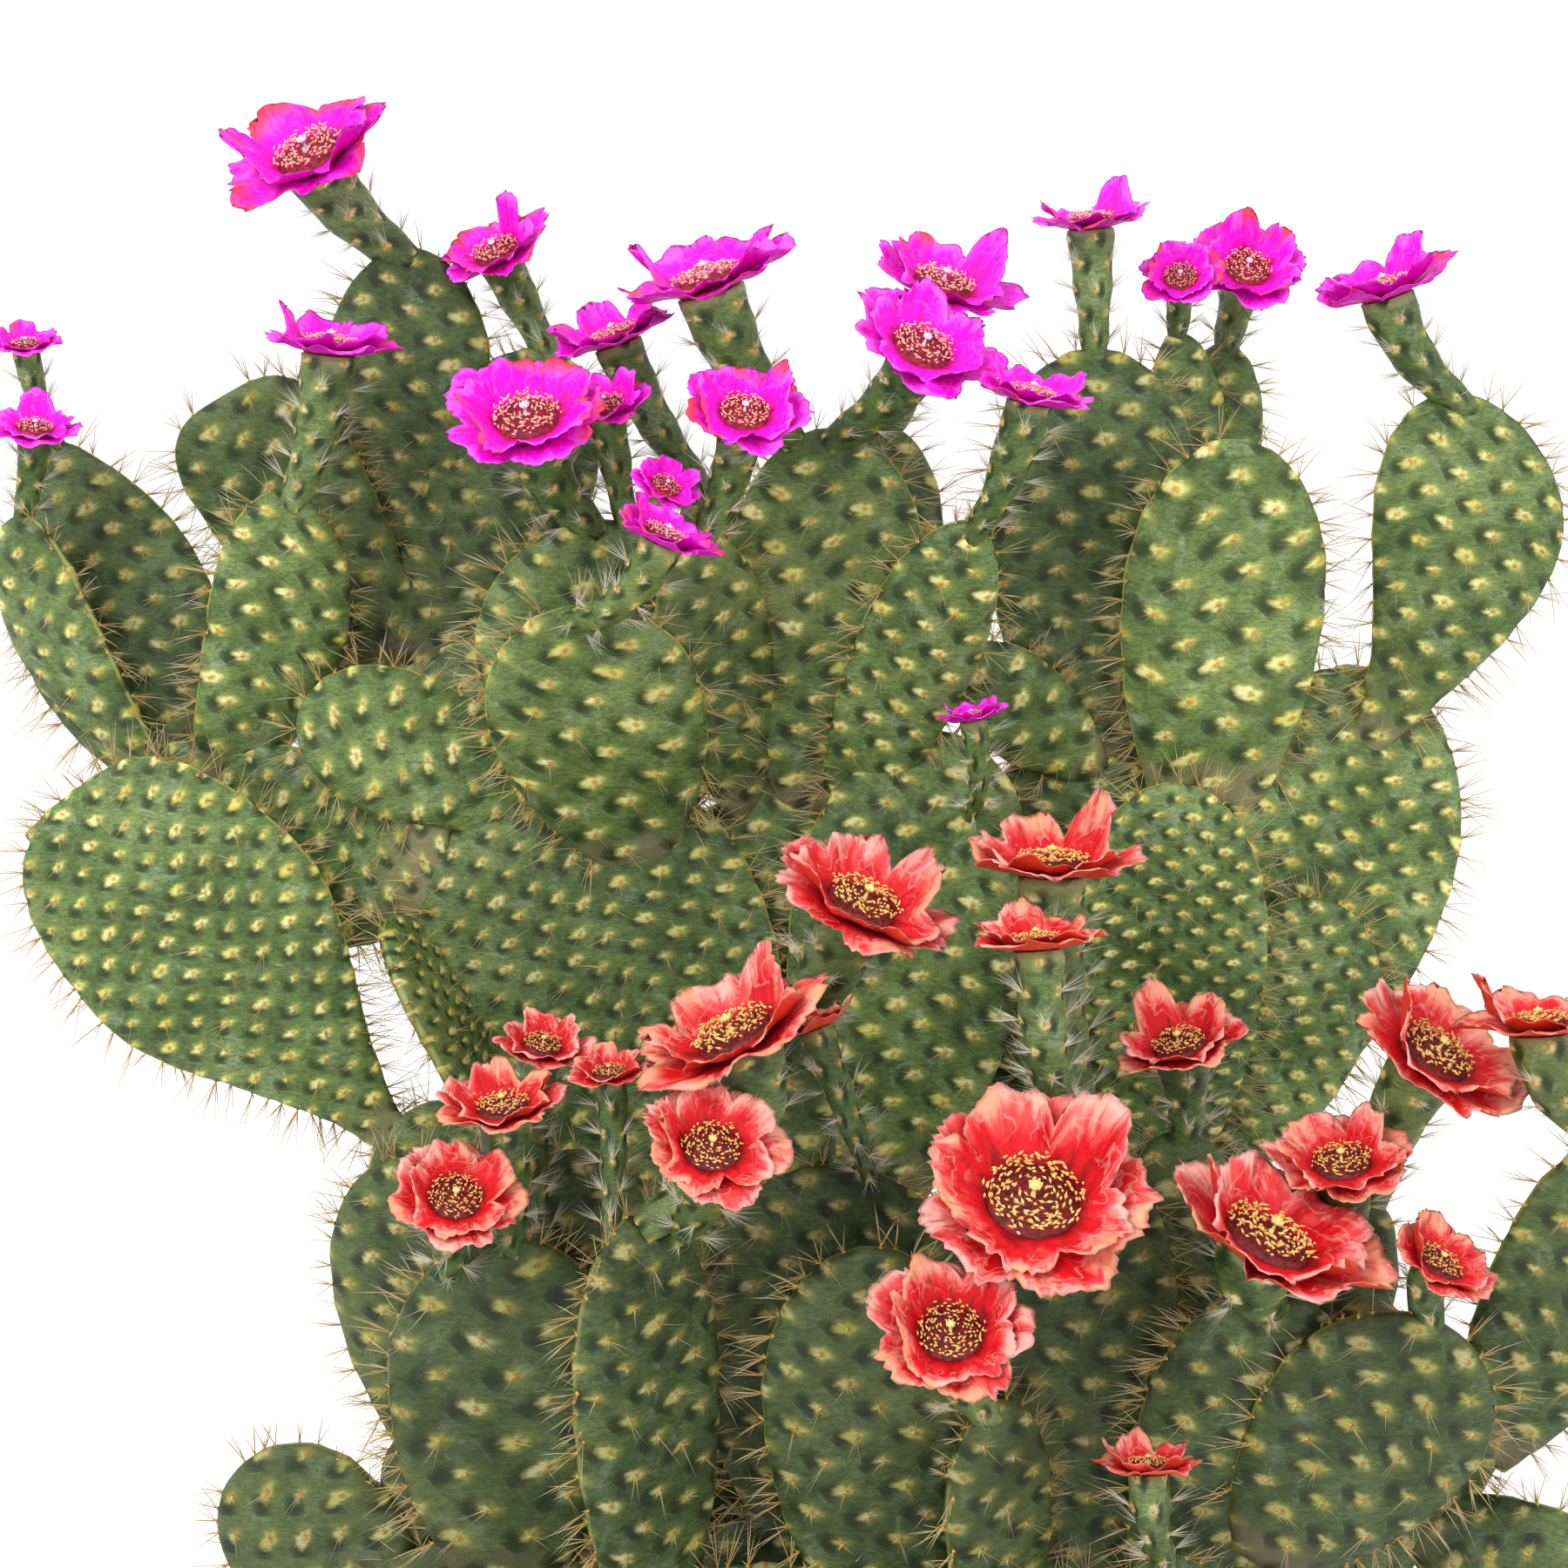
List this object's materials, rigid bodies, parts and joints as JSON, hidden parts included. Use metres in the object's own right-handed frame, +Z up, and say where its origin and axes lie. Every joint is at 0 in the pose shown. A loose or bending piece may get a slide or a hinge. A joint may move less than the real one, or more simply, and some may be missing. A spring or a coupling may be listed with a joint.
{
  "type": "potted cactus",
  "caption": "Clump of flat-padded prickly pear with spines and long-tubed magenta and red blooms, in a plain round pot of soil.",
  "frame": {"origin": "middle of the pot's flat underside, where it stands on the floor", "axes": "+Z up through the plant, -Y towards the front that the picture shows, +X to the right of that view"},
  "size_m": [0.6581, 0.4, 0.835],
  "materials": {
    "terracotta": "matt fired clay",
    "soil": "dry crumbly earth",
    "cactus_flesh": "waxy green skin with cream areoles",
    "magenta_petal": "satin petal",
    "red_petal": "satin petal"
  },
  "bodies": {
    "root": {"pot": "terracotta", "soil": "soil", "stem_front_left": "cactus_flesh", "stem_front_dark": "cactus_flesh", "stem_front_middle": "cactus_flesh", "stem_front_right": "cactus_flesh", "stem_front_far_right": "cactus_flesh", "stem_back_left": "cactus_flesh", "stem_back_middle": "cactus_flesh", "stem_back_right": "cactus_flesh", "red_left_front": "red_petal", "red_left_low": "red_petal", "red_left_far": "red_petal", "red_upper_left": "red_petal", "red_side": "red_petal", "red_tilted": "red_petal", "red_middle_left": "red_petal", "red_small_left": "red_petal", "red_column_top": "red_petal", "red_column_low": "red_petal", "red_large": "red_petal", "red_upper_right": "red_petal", "red_right_tilted": "red_petal", "red_right_middle": "red_petal", "red_right_low": "red_petal", "red_right_high": "red_petal", "red_low_facing": "red_petal", "red_small_low": "red_petal", "red_right_edge": "red_petal", "magenta_top_left": "magenta_petal", "magenta_left_small": "magenta_petal", "magenta_left_flat": "magenta_petal", "magenta_far_left": "magenta_petal", "magenta_far_left_high": "magenta_petal", "magenta_facing": "magenta_petal", "magenta_under": "magenta_petal", "magenta_behind": "magenta_petal", "magenta_high_middle": "magenta_petal", "magenta_middle": "magenta_petal", "magenta_middle_low": "magenta_petal", "magenta_sloping": "magenta_petal", "magenta_right_facing": "magenta_petal", "magenta_right_high": "magenta_petal", "magenta_right_flat": "magenta_petal", "magenta_bud": "magenta_petal", "magenta_right_column": "magenta_petal", "magenta_pair_left": "magenta_petal", "magenta_pair_right": "magenta_petal", "magenta_far_right": "magenta_petal"}
  },
  "joints": []
}
